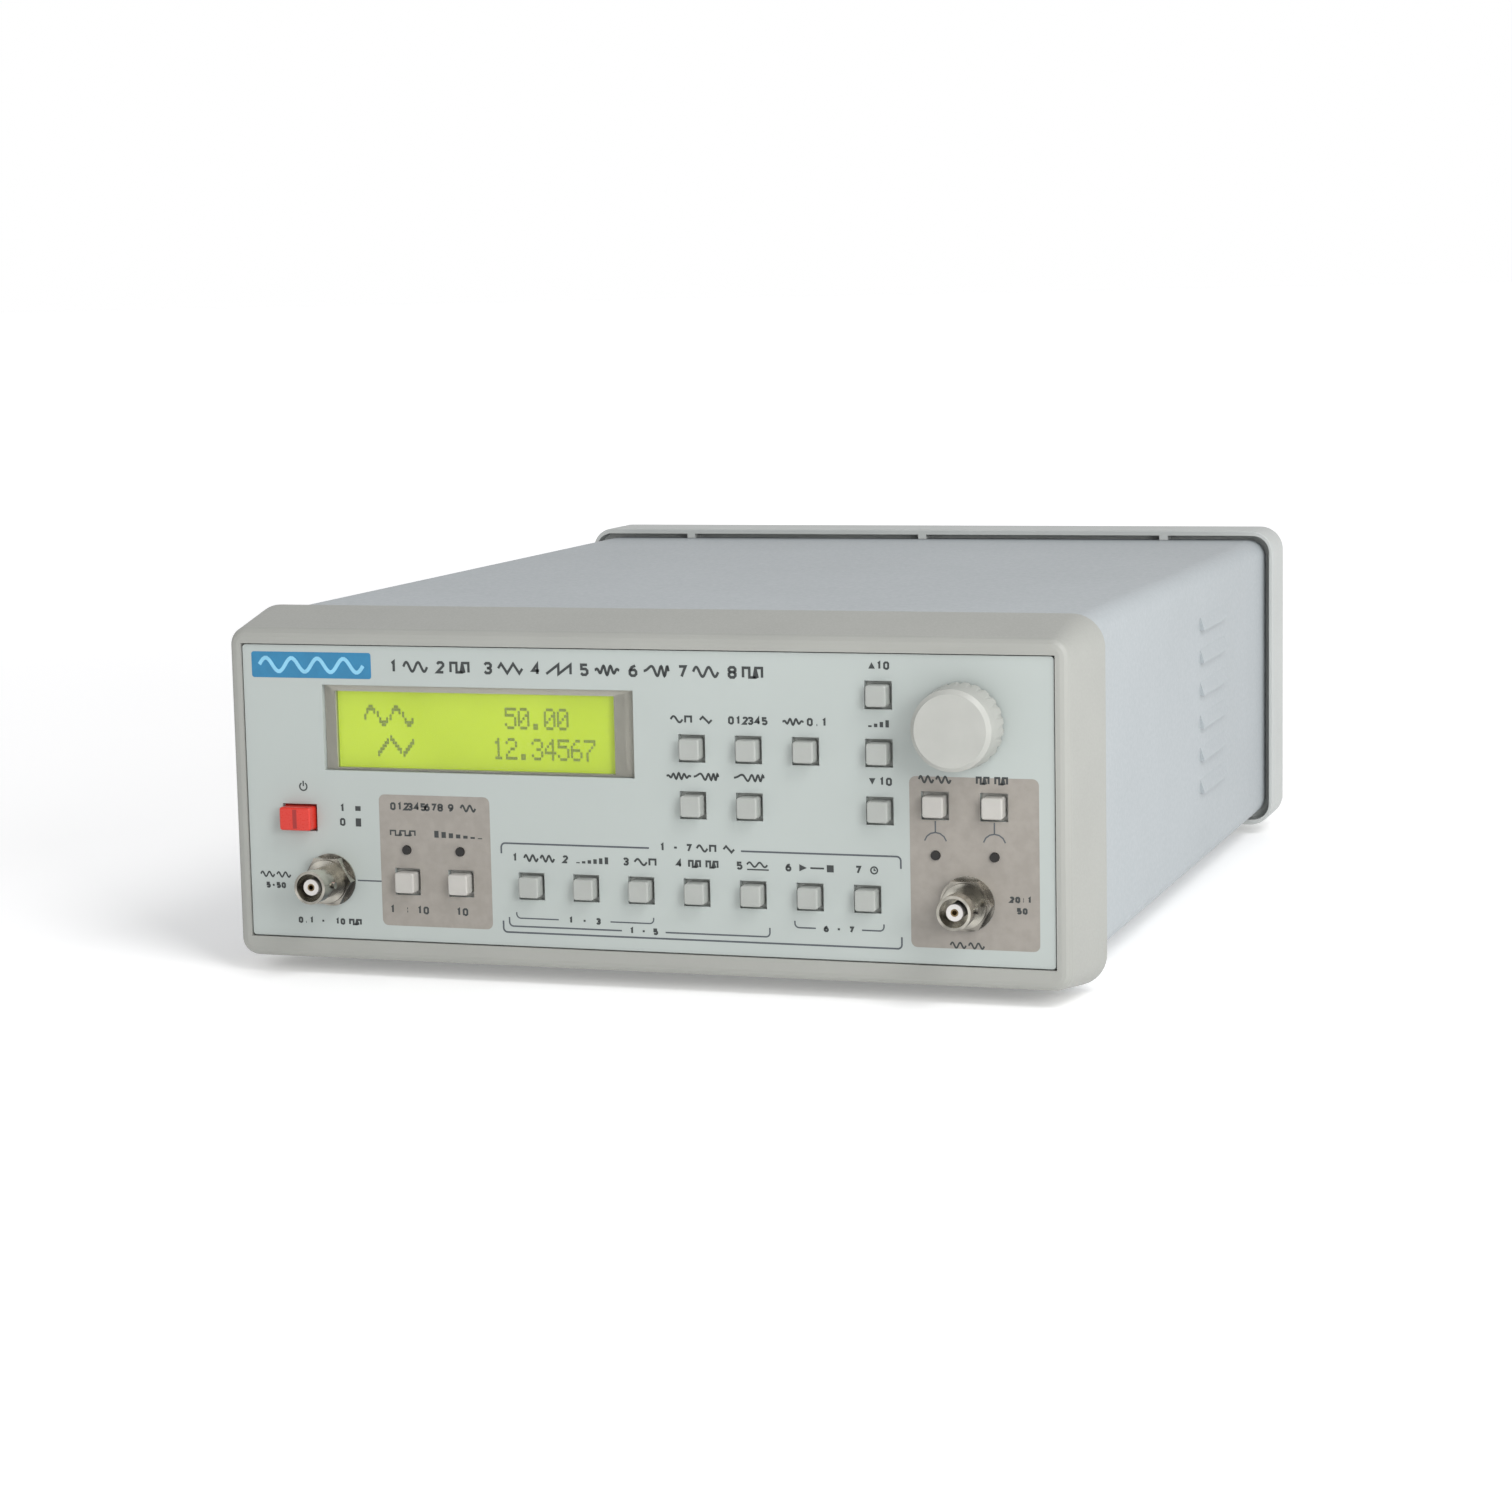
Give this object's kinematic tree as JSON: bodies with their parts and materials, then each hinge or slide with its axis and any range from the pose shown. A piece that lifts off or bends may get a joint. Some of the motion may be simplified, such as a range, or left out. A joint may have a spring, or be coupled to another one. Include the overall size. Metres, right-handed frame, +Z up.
{
  "type": "function generator",
  "caption": "Bench function generator with a sleeve case, framed front panel, display, push keys, tuning knob, coaxial sockets and a rear mains inlet",
  "frame": {"origin": "on the surface that the feet stand on, under the middle of the outline", "axes": "+X to the right as one faces the panel, +Y back into the case, +Z up"},
  "size_m": [0.2598, 0.3444, 0.1085],
  "materials": {
    "bezel_plastic": "fine moulded texture, warm light grey",
    "rear_bezel_plastic": "fine moulded texture, light grey",
    "case_paint": "baked enamel, cool light grey, slight orange peel",
    "panel_paint": "printed polyester overlay on aluminium, light grey",
    "zinc_steel": "zinc plated",
    "key_plastic": "smooth off-white caps",
    "power_red": "red cap",
    "knob_plastic": "light warm grey, fluted side",
    "foot_rubber": "black rubber",
    "window_clear": "clear acrylic",
    "surround_grey": "printed surround",
    "lcd_green": "back-lit yellow-green display cell",
    "tinned_sheet": "tinned display frame",
    "nickel": "nickel-plated brass",
    "contact_gold": "gold-flashed contacts",
    "insulator_white": "white insulator",
    "circuit_green": "green solder mask",
    "black_plastic": "black moulded plastic",
    "lamp_dark": "dark tinted lamp",
    "core_steel": "varnished laminations",
    "winding_tape": "yellow tape over the winding",
    "heatsink_black": "black anodised",
    "ribbon_grey": "flat grey cable"
  },
  "bodies": {
    "housing": {"front_bezel": "bezel_plastic", "rear_bezel": "rear_bezel_plastic", "case_sleeve": "case_paint", "front_panel": "panel_paint", "rear_panel": "case_paint", "chassis_tray": "zinc_steel", "display_window": "window_clear", "display_surround": "surround_grey", "lcd_glass": "lcd_green", "lcd_frame": "tinned_sheet", "lcd_board": "circuit_green", "key_board": "circuit_green", "tact_switches": "black_plastic", "indicator_lamps": "lamp_dark", "encoder_body": "zinc_steel", "encoder_nut": "nickel", "power_switch": "black_plastic", "input_bnc": "nickel", "output_bnc": "nickel", "rear_bncs": "nickel", "bnc_nuts": "nickel", "bnc_insulators": "insulator_white", "bnc_contacts": "contact_gold", "main_board": "circuit_green", "foot_screws": "zinc_steel", "board_screws": "zinc_steel", "rear_screws": "zinc_steel", "filter_capacitors": "black_plastic", "heatsink": "heatsink_black", "regulators": "black_plastic", "board_components": "black_plastic", "ribbon_cable": "ribbon_grey", "transformer_core": "core_steel", "transformer_winding": "winding_tape", "mains_inlet": "black_plastic", "inlet_pins": "nickel", "feet": "foot_rubber"},
    "key_entry_1": {"key_entry_1": "key_plastic"},
    "key_entry_2": {"key_entry_2": "key_plastic"},
    "key_entry_3": {"key_entry_3": "key_plastic"},
    "key_entry_4": {"key_entry_4": "key_plastic"},
    "key_entry_5": {"key_entry_5": "key_plastic"},
    "key_range_1": {"key_range_1": "key_plastic"},
    "key_range_2": {"key_range_2": "key_plastic"},
    "key_range_3": {"key_range_3": "key_plastic"},
    "key_output_1": {"key_output_1": "key_plastic"},
    "key_output_2": {"key_output_2": "key_plastic"},
    "key_counter_1": {"key_counter_1": "key_plastic"},
    "key_counter_2": {"key_counter_2": "key_plastic"},
    "key_function_1": {"key_function_1": "key_plastic"},
    "key_function_2": {"key_function_2": "key_plastic"},
    "key_function_3": {"key_function_3": "key_plastic"},
    "key_function_4": {"key_function_4": "key_plastic"},
    "key_function_5": {"key_function_5": "key_plastic"},
    "key_function_6": {"key_function_6": "key_plastic"},
    "key_function_7": {"key_function_7": "key_plastic"},
    "power_button": {"power_button": "power_red"},
    "knob": {"tuning_knob": "knob_plastic", "encoder_shaft": "zinc_steel"},
    "fuse_drawer": {"fuse_drawer": "black_plastic"}
  },
  "joints": [
    {"name": "key_entry_1_press", "type": "slide", "parent": "housing", "child": "key_entry_1", "axis": [0, 1, 0], "range_m": [0, 0.001], "stiffness_N_per_m": 400, "springref_m": -0.001},
    {"name": "key_entry_2_press", "type": "slide", "parent": "housing", "child": "key_entry_2", "axis": [0, 1, 0], "range_m": [0, 0.001], "stiffness_N_per_m": 400, "springref_m": -0.001},
    {"name": "key_entry_3_press", "type": "slide", "parent": "housing", "child": "key_entry_3", "axis": [0, 1, 0], "range_m": [0, 0.001], "stiffness_N_per_m": 400, "springref_m": -0.001},
    {"name": "key_entry_4_press", "type": "slide", "parent": "housing", "child": "key_entry_4", "axis": [0, 1, 0], "range_m": [0, 0.001], "stiffness_N_per_m": 400, "springref_m": -0.001},
    {"name": "key_entry_5_press", "type": "slide", "parent": "housing", "child": "key_entry_5", "axis": [0, 1, 0], "range_m": [0, 0.001], "stiffness_N_per_m": 400, "springref_m": -0.001},
    {"name": "key_range_1_press", "type": "slide", "parent": "housing", "child": "key_range_1", "axis": [0, 1, 0], "range_m": [0, 0.001], "stiffness_N_per_m": 400, "springref_m": -0.001},
    {"name": "key_range_2_press", "type": "slide", "parent": "housing", "child": "key_range_2", "axis": [0, 1, 0], "range_m": [0, 0.001], "stiffness_N_per_m": 400, "springref_m": -0.001},
    {"name": "key_range_3_press", "type": "slide", "parent": "housing", "child": "key_range_3", "axis": [0, 1, 0], "range_m": [0, 0.001], "stiffness_N_per_m": 400, "springref_m": -0.001},
    {"name": "key_output_1_press", "type": "slide", "parent": "housing", "child": "key_output_1", "axis": [0, 1, 0], "range_m": [0, 0.001], "stiffness_N_per_m": 400, "springref_m": -0.001},
    {"name": "key_output_2_press", "type": "slide", "parent": "housing", "child": "key_output_2", "axis": [0, 1, 0], "range_m": [0, 0.001], "stiffness_N_per_m": 400, "springref_m": -0.001},
    {"name": "key_counter_1_press", "type": "slide", "parent": "housing", "child": "key_counter_1", "axis": [0, 1, 0], "range_m": [0, 0.001], "stiffness_N_per_m": 400, "springref_m": -0.001},
    {"name": "key_counter_2_press", "type": "slide", "parent": "housing", "child": "key_counter_2", "axis": [0, 1, 0], "range_m": [0, 0.001], "stiffness_N_per_m": 400, "springref_m": -0.001},
    {"name": "key_function_1_press", "type": "slide", "parent": "housing", "child": "key_function_1", "axis": [0, 1, 0], "range_m": [0, 0.001], "stiffness_N_per_m": 400, "springref_m": -0.001},
    {"name": "key_function_2_press", "type": "slide", "parent": "housing", "child": "key_function_2", "axis": [0, 1, 0], "range_m": [0, 0.001], "stiffness_N_per_m": 400, "springref_m": -0.001},
    {"name": "key_function_3_press", "type": "slide", "parent": "housing", "child": "key_function_3", "axis": [0, 1, 0], "range_m": [0, 0.001], "stiffness_N_per_m": 400, "springref_m": -0.001},
    {"name": "key_function_4_press", "type": "slide", "parent": "housing", "child": "key_function_4", "axis": [0, 1, 0], "range_m": [0, 0.001], "stiffness_N_per_m": 400, "springref_m": -0.001},
    {"name": "key_function_5_press", "type": "slide", "parent": "housing", "child": "key_function_5", "axis": [0, 1, 0], "range_m": [0, 0.001], "stiffness_N_per_m": 400, "springref_m": -0.001},
    {"name": "key_function_6_press", "type": "slide", "parent": "housing", "child": "key_function_6", "axis": [0, 1, 0], "range_m": [0, 0.001], "stiffness_N_per_m": 400, "springref_m": -0.001},
    {"name": "key_function_7_press", "type": "slide", "parent": "housing", "child": "key_function_7", "axis": [0, 1, 0], "range_m": [0, 0.001], "stiffness_N_per_m": 400, "springref_m": -0.001},
    {"name": "power_button_press", "type": "slide", "parent": "housing", "child": "power_button", "axis": [0, 1, 0], "range_m": [0, 0.0028], "stiffness_N_per_m": 300, "springref_m": -0.0025},
    {"name": "knob_turn", "type": "hinge", "parent": "housing", "child": "knob", "pos_m": [0.0954, -0.1572, 0.07805], "axis": [0, -1, 0], "continuous": true},
    {"name": "fuse_drawer_pull", "type": "slide", "parent": "housing", "child": "fuse_drawer", "axis": [0, 1, 0], "range_m": [0, 0.014]}
  ]
}
